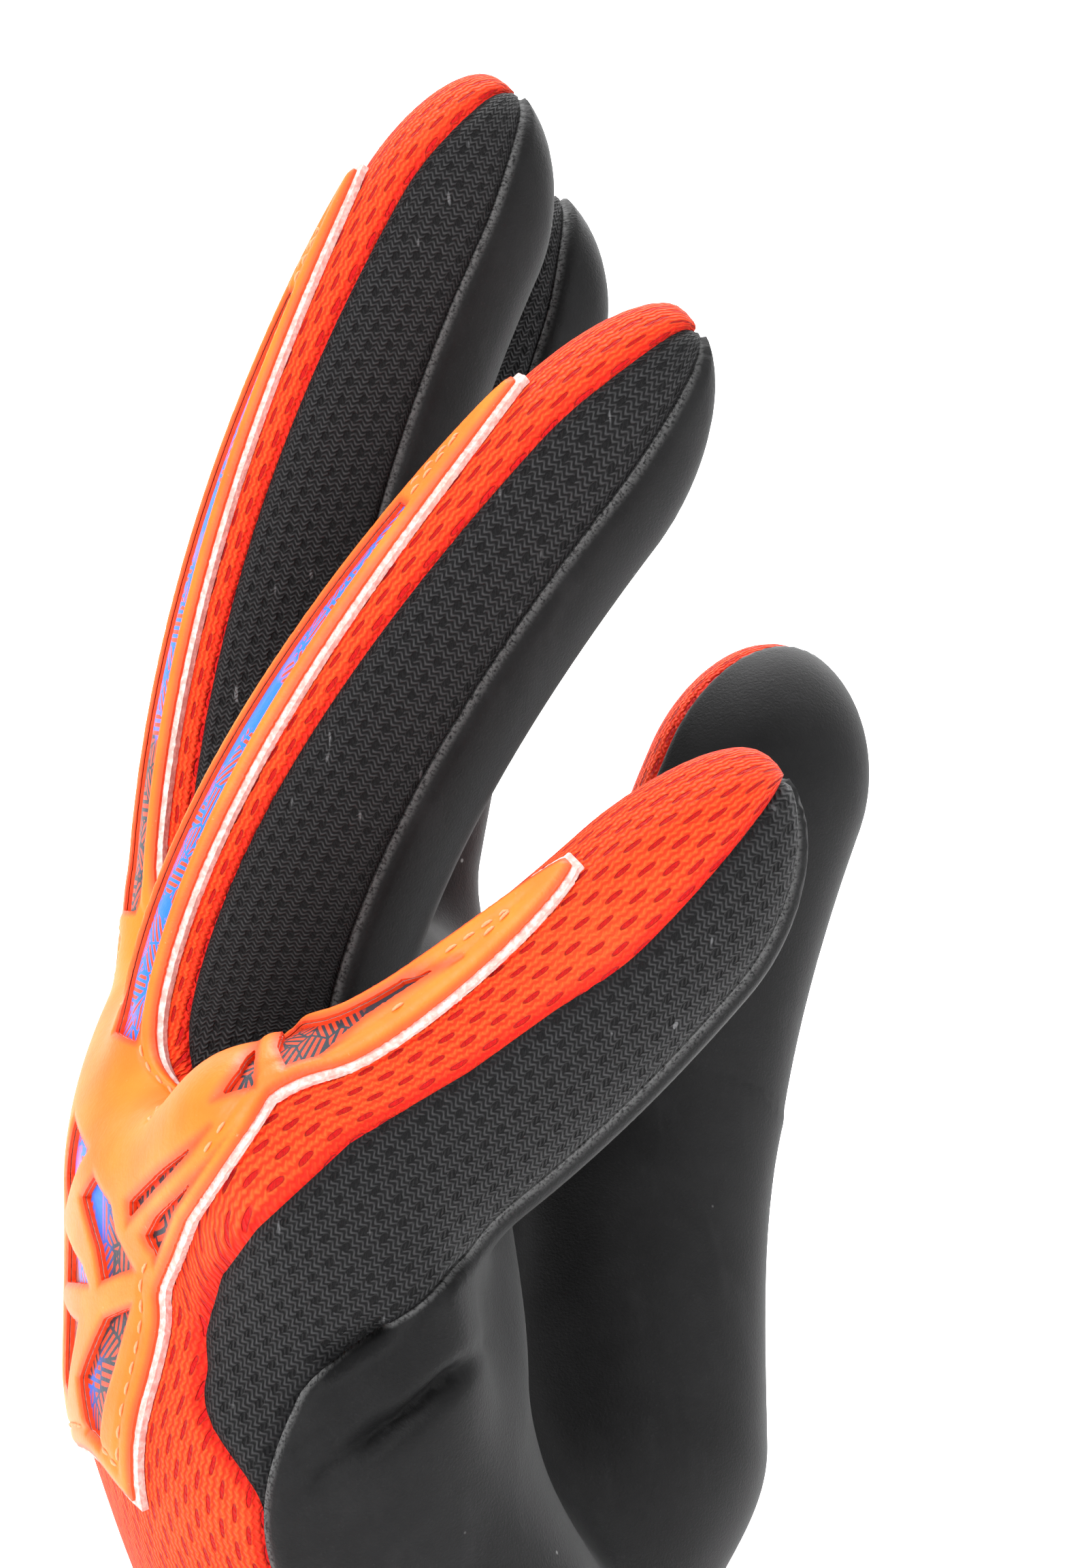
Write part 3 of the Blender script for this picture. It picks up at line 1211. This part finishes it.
def panel_pieces(skin, kind):
    """The pieces of one kind of panel over the whole glove."""
    word, material, wall, slot = PANELS[kind]
    skin.data["edge"] = np.maximum({"back": skin["back"], "latex": skin["palm"],
                                    "gusset": np.minimum(-skin["back"], -skin["palm"])}[kind], 0)
    skin.data["relief"] = relief(skin, kind)
    skin.data["shade"] = vertex_normals(skin["at"] + skin["normal"] * skin["relief"][:, None], skin.tris)
    if kind == "back":
        skin.data["along"], skin.data["around"] = skin["weave_u"], skin["weave_v"]
    if kind == "gusset":
        way = unit(TUBES["little"].slope(0.6))
        straight = [dot(skin["at"], way), dot(skin["at"], np.array([way[2], 0, -way[0]]))]
        ulnar = skin["at"][:, 1] < 2 + TUBES["little"].p[0][1]
        for name, flat in zip(("along", "around"), straight):
            skin.data[name] = np.where(ulnar, flat, skin[name])
    parts = list(split(skin).items())
    if kind == "gusset":
        whole = parts.pop(0)[1]
        whole = whole.cut(whole["thumbward"])
        thumb_side = without_scraps(whole, whole.mean(whole["thumbward"]) > 0)
        parts += [("hand", whole.part(~thumb_side)), ("thenar", whole.part(thumb_side))]
    for key, part in parts:
        red = kind == "gusset" and key[:2] == "th"
        part = part.clean()
        part.data["normal"] = unit(part["normal"])
        part.data["shade"] = unit(part["shade"])
        piece = shell(f"{key}_foam" if kind == "latex" else f"{key}_{word}_cloth", part, part["relief"],
                      -wall, [MESH if red else material])
        follow(piece, key)
        "spacer_mesh" if red else slot
        if key == "hand":
            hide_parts(*HAND_NODES[kind])
        elif key != "thenar":
            name, place = key.rsplit("_", 1)
            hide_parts(f"{name}_{'base' if place == 'root' else 'tip'}_{word}")


def overlay_pieces(back):
    """Foam underlay, rubber skin, printed film and stitches on the back of the hand and the fingers."""
    near = back.part(back.mean(back["cover"]) > -4).finer()
    known = fields(near["at"])
    known["label"] = near["label"]
    near.data.update(known)
    near.data["normal"] = unit(near["normal"])
    near.data["edge"] = np.maximum(near["back"], 0)
    near.data["at"] = near["at"] + near["normal"] * relief(near, "back")[:, None]
    cover = near["cover"]

    film = near.cut(cover - 0.5)
    film = film.part(film.mean(film["cover"]) > 0.5)
    film.data["edge"] = np.full(len(film["at"]), 5.0)
    for key, part in split(film).items():
        piece = shell(f"{key}_film", part.clean(), FILM_RISE, 0.05, [FILM])
        follow(piece, key)
        if key == "hand":
            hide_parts("back_print")

    layers = [("underlay", -0.75, 0.1, 1.0, 0.1, [CUT_FOAM, CUT_RUBBER]),
              ("overlay", 0.0, 1.0, OVERLAY_RISE, 0.35, [RUBBER, CUT_RUBBER])]
    for word, margin, low, high, round_by, materials in layers:
        sheet = near.cut(cover - margin)
        sheet = sheet.part(sheet.mean(sheet["cover"]) > margin)
        sheet = sheet.cut(-sheet["window"])
        sheet = sheet.part(sheet.mean(sheet["window"]) < 0)
        edge = np.maximum(np.minimum(sheet["cover"] - margin, -sheet["window"]), 0)
        sheet.data["edge"] = edge
        groove = 0.28 * bell(sheet["cover"] - GROOVE_INSET, 0.45) if word == "overlay" else 0
        sheet.data["relief"] = high - round_by * bell(edge, 0.55) - groove
        sheet.data["shade"] = vertex_normals(sheet["at"] + sheet["normal"] * sheet["relief"][:, None],
                                             sheet.tris)
        for key, part in split(sheet).items():
            part = part.clean()
            part.data["normal"], part.data["shade"] = unit(part["normal"]), unit(part["shade"])

            def inside_window(edges, part=part):
                return (np.abs(part["window"][edges]).max(1) < 0.3).astype(int)

            piece = shell(f"{key}_{word}", part, part["relief"], low, materials, inside_window)
            follow(piece, key)
            if word == "underlay":
                continue
            if key == "hand":
                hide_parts("back_overlay")
            else:
                name, place = key.rsplit("_", 1)
                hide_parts(f"{name}_{'base' if place == 'root' else 'tip'}_overlay")
            sewn = part.part(part.mean(part["window"]) < -0.8)
            if len(sewn.tris):
                seam = stitches(f"{key}_overlay_stitches", isoline(sewn, sewn["cover"] - GROOVE_INSET),
                                1.5, 0.75, 0.2, OVERLAY_RISE - 0.12, ORANGE_THREAD)
                if seam:
                    follow(seam, key)


skin = build_skin()
is_back = without_scraps(skin, skin.mean(skin["back"]) > 0)
is_latex = without_scraps(skin, ~is_back & (skin.mean(skin["palm"]) > 0))
kinds = np.where(is_back, 0, np.where(is_latex, 2, 1))
overlay_pieces(skin.part(kinds == 0))
for number, kind in enumerate(("back", "gusset", "latex")):
    panel_pieces(skin.part(kinds == number), kind)


# ------------------------------------------------------------------ cuff and strap

CUFF_X, CUFF_Y = node_box("cuff_bandage")[1][:2]
STRAP_LOW, STRAP_HIGH = (corner[2] for corner in node_box("wrist_strap"))


def cuff_point(angle, z, off):
    """Place on the cuff at an angle from the palm side; the cuff widens into the hand above the strap."""
    c, s = np.cos(np.radians(angle)), np.sin(np.radians(angle))
    oval = 1 / np.sqrt((c / CUFF_X) ** 2 + (s / CUFF_Y) ** 2)
    turned = ((angle + 180) % 360) - 180
    share = smooth((z - 49) / 11)
    r = mix(oval, hand_radius(turned, HAND_BASE) - 1.2, share) + off
    return np.stack([hand_x(z) * share + r * c, r * s, z], -1)


def band(name, material, angles, heights, offs, rows=8, wave=0.0, rounding=0.5):
    """A band round the cuff between two angles and two heights, with soft edges."""
    span = abs(angles[1] - angles[0])
    whole = span >= 360
    count = int(span / 2.5)

    def point(u, v, w):
        z = mix(heights[0], heights[1], u)
        angle = mix(angles[0], angles[1], v)
        rim = np.minimum(u, 1 - u) * (heights[1] - heights[0])
        if not whole:
            rim = np.minimum(rim, np.minimum(v, 1 - v) * np.radians(span) * CUFF_X)
        middle = (offs[0] + offs[1]) / 2
        thin = mix(rounding, 1, np.sqrt(np.clip(rim / 1.5, 0, 1)))
        off = middle + (w - 0.5) * (offs[1] - offs[0]) * thin
        sway = wave * (np.sin(np.radians(angle) * 7 + z * 0.05) + 0.5 * np.sin(np.radians(angle) * 17))
        return cuff_point(angle, z, off + sway * np.clip(rim / 4, 0, 1))

    length = np.radians(span) * (CUFF_X + CUFF_Y) / 2
    return grid_solid(name, point, rows, count, material, whole, (heights[1] - heights[0], length))


def sewn_line(angles, z, off, count=90):
    """Line of points with outward normals round the cuff, for stitches."""
    angle = np.linspace(angles[0], angles[1], count)
    place = cuff_point(angle, np.full(count, float(z)), np.full(count, float(off)))
    outward = unit(place - cuff_point(angle, np.full(count, float(z)), np.full(count, off - 1.0)))
    return np.concatenate([place, outward], 1)


def sewn_across(angle, heights, off, count=20):
    z = np.linspace(heights[0], heights[1], count)
    turn = np.full(count, float(angle))
    place = cuff_point(turn, z, np.full(count, float(off)))
    outward = unit(place - cuff_point(turn, z, np.full(count, off - 1.0)))
    return np.concatenate([place, outward], 1)


def sew(name, body, lines, material, off=0.1, length=SEWN_LENGTH):
    """Stitches round the cuff that move with a body."""
    seam = stitches(name, lines, length, SEWN_GAP, SEWN_RADIUS, off, material)
    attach(seam, body)


def cuff():
    """Elastic cuff with gathers that deepen towards the strap."""
    def point(u, v, w):
        z = mix(0.0, HAND_BASE + 2.5, u)
        angle = 360 * v
        gather = 0.55 * np.sin(np.radians(angle) * 31 + 0.8 * np.sin(z * 0.2)) * smooth(z / 12)
        gather = gather * smooth((HAND_BASE - z) / 14)
        tuck = -3.0 * smooth((z - 56) / 4)
        return cuff_point(angle, z, (w - 1) * 1.9 + gather + tuck - 0.35)

    piece = grid_solid("elastic_cuff", point, 36, 372, ELASTIC, True, (HAND_BASE, 210))
    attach(piece, "hand")
    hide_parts("cuff_bandage")


def strap_parts():
    """Binding, strap, flap with its fastener, and the loops that they are sewn with."""
    low, high = STRAP_LOW, STRAP_HIGH
    hem = band("hem_binding", BINDING, (0, 360), (-0.6, 8), (-2.3, 1.35), 8, 0.0, 0.55)
    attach(hem, "hand")
    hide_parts("cuff_hem")
    sew("hem_stitches", "hand", [sewn_line((0, 360), 6.4, 1.35, 200)], RED_THREAD)

    strap = band("strap_band", WEBBING, (-100, 116), (low, high), (0.35, STRAP_TOP), 14, 0.12)
    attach(strap, "hand")
    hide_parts("wrist_strap")
    sew("strap_stitches", "hand",
        [sewn_line((-97, 104), low + 2.5, STRAP_TOP), sewn_line((-97, 104), high - 2.5, STRAP_TOP),
         sewn_across(-96, (low + 3, high - 3), STRAP_TOP)], RED_THREAD)

    loops = band("fastener_loops", LOOPS, (118, 248), (low + 2, high - 2), (0.1, 1.3), 10, 0.05)
    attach(loops, "hand")
    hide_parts("loop_pad")
    hooks = band("fastener_hooks", HOOKS, (152, 236), (low + 3, high - 3), (1.5, 2.75), 8)
    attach(hooks, "strap")
    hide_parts("strap_hook_pad")

    onward = unit(np.array([-0.89, -0.46, 0.0]))
    flap = band("flap_band", RED_WEBBING, (103, 238.5), (low, high), (2.75, FLAP_TOP), 14, 0.1)
    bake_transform(flap)
    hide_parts("strap_flap")
    seam = stitches("flap_stitches",
                    [sewn_line((106, 236), low + 2.5, FLAP_TOP),
                     sewn_line((106, 236), high - 2.5, FLAP_TOP),
                     sewn_across(106.5, (low + 3, high - 3), FLAP_TOP),
                     sewn_across(235, (low + 3, high - 3), FLAP_TOP)],
                    SEWN_LENGTH, SEWN_GAP, SEWN_RADIUS, 0.1, ORANGE_THREAD)
    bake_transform(seam)

    def tab_point(u, v, w):
        z = mix(low + 7.5, high - 7.5, u)
        rim = np.minimum(np.minimum(u, 1 - u) * (high - low - 15), (1 - v) * 9)
        ridge = 0.45 * (0.5 + 0.5 * np.cos(v * 2 * math.pi * 5)) * smooth((v - 0.15) * 6)
        corner = smooth((v - 0.55) / 0.45) * 3.5 * (2 * u - 1) ** 3
        off = 3.85 + (w - 0.5) * (1.3 + 0.9 * np.sqrt(np.clip(rim / 2, 0, 1)) + ridge * 2)
        return cuff_point(mix(236.5, 252, v), z - corner, off)

    tab = grid_solid("pull_tab", tab_point, 16, 44, RUBBER, False, (20, 10))
    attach(tab, "strap")
    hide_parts("strap_pull_tab")


def pull_loop():
    """Folded tape that stands below the hem on the palm side."""
    (x0, y0, z0), (x1, y1, z1) = node_box("pull_on_loop")
    middle_x, height = (x0 + x1) / 2, z1 - z0

    def point(u, v, w):
        turn = (u - 0.5) * 2
        belly = np.cos(turn * math.pi / 2) ** 0.8
        z = z0 + 1.2 + (height - 1.4) * np.abs(turn) ** 1.5
        open_by = 0.45 + 2.0 * belly * smooth((1 - np.abs(turn)) * 3) * np.abs(turn) ** 0.4
        x = middle_x + np.sign(turn) * open_by
        thick = 0.3 * (2 * w - 1)
        return np.stack([x + thick * np.where(turn > 0, 1, -1) * np.abs(turn) ** 0.3,
                         mix(y0, y1, v), z + thick * (np.abs(turn) - 1)], -1)

    piece = grid_solid("pull_loop", point, 60, 12, BINDING, False, (44, 14))
    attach(piece, "hand")
    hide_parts("pull_on_loop")
    lines = [np.array([[x1 + 0.1, y, z, 1, 0, 0] for y in np.linspace(y0 + 1.2, y1 - 1.2, 12)])
             for z in (z1 - 1.5, z1 - 5)]
    sew("pull_loop_stitches", "hand", lines, ORANGE_THREAD, 0.25, 1.8)


cuff()
strap_parts()
pull_loop()
for slot_index in range(len(frame["nodes"]["back_padding"].data.materials)):
    frame["nodes"]["back_padding"].data.materials[slot_index] = FOAM


# ------------------------------------------------------------------ floor, light, camera

def backdrop():
    """Pale floor that sweeps up behind the glove."""
    base = min(CAD_BOX[0][2], 0) - 0.006
    half, depth, bend = 3.0, 2.2, 1.0
    turn = np.linspace(0, math.pi / 2, 24)
    profile = [(-3.0, 0.0)] + [(depth + bend * math.sin(t), bend - bend * math.cos(t)) for t in turn]
    profile.append((depth + bend, 4.0))
    verts = [(x, y, base + z) for y, z in profile for x in (-half, half)]
    faces = [(2 * i, 2 * i + 1, 2 * i + 3, 2 * i + 2) for i in range(len(profile) - 1)]
    mesh = bpy.data.meshes.new("backdrop")
    mesh.from_pydata(verts, [], faces)
    mesh.polygons.foreach_set("use_smooth", [True] * len(faces))
    paper = Paint("backdrop_paper")
    grain = paper.noise(paper.node("ShaderNodeNewGeometry"), 220, 3)
    mesh.materials.append(paper.finish(paper.mix(grain, (0.90, 0.90, 0.90), (0.93, 0.93, 0.93)), 0.9, grain,
                                       0.0001, Specular_IOR_Level=0.1))
    floor = bpy.data.objects.new("backdrop", mesh)
    bpy.context.scene.collection.objects.link(floor)


def area_light(name, place, target, size, power):
    light = bpy.data.lights.new(name, "AREA")
    light.shape = "DISK"
    light.size = size
    light.energy = power
    lamp = bpy.data.objects.new(name, light)
    bpy.context.scene.collection.objects.link(lamp)
    lamp.location = place
    way = np.array(target, float) - np.array(place, float)
    lamp.rotation_euler = (math.atan2(math.hypot(way[0], way[1]), -way[2]), 0,
                           math.atan2(way[1], way[0]) - math.pi / 2)


def stage():
    backdrop()
    centre = tuple((np.array(CAD_BOX[0]) + np.array(CAD_BOX[1])) / 2)
    area_light("key", (-0.8, -0.9, 1.0), centre, 0.7, 20)
    area_light("fill", (1.0, -0.5, 0.6), centre, 0.9, 6)
    area_light("rim", (0.5, 0.9, 0.9), centre, 0.8, 8)
    area_light("wall", (0, 1.2, 2.6), (0, 3.0, 0.6), 1.6, 260)
    world = bpy.data.worlds.new("studio")
    world.use_nodes = True
    world.node_tree.nodes["Background"].inputs["Color"].default_value = (1, 1, 1, 1)
    world.node_tree.nodes["Background"].inputs["Strength"].default_value = 0.6
    scene = bpy.context.scene
    scene.world = world
    scene.view_settings.view_transform = "Standard"
    data = bpy.data.cameras.new("camera")
    data.lens = 82.7
    data.sensor_width = 36
    camera = bpy.data.objects.new("camera", data)
    camera.location = (0.013, -0.420, 0.160)
    camera.rotation_euler = (math.radians(90), 0, 0)
    scene.collection.objects.link(camera)
    scene.camera = camera


stage()
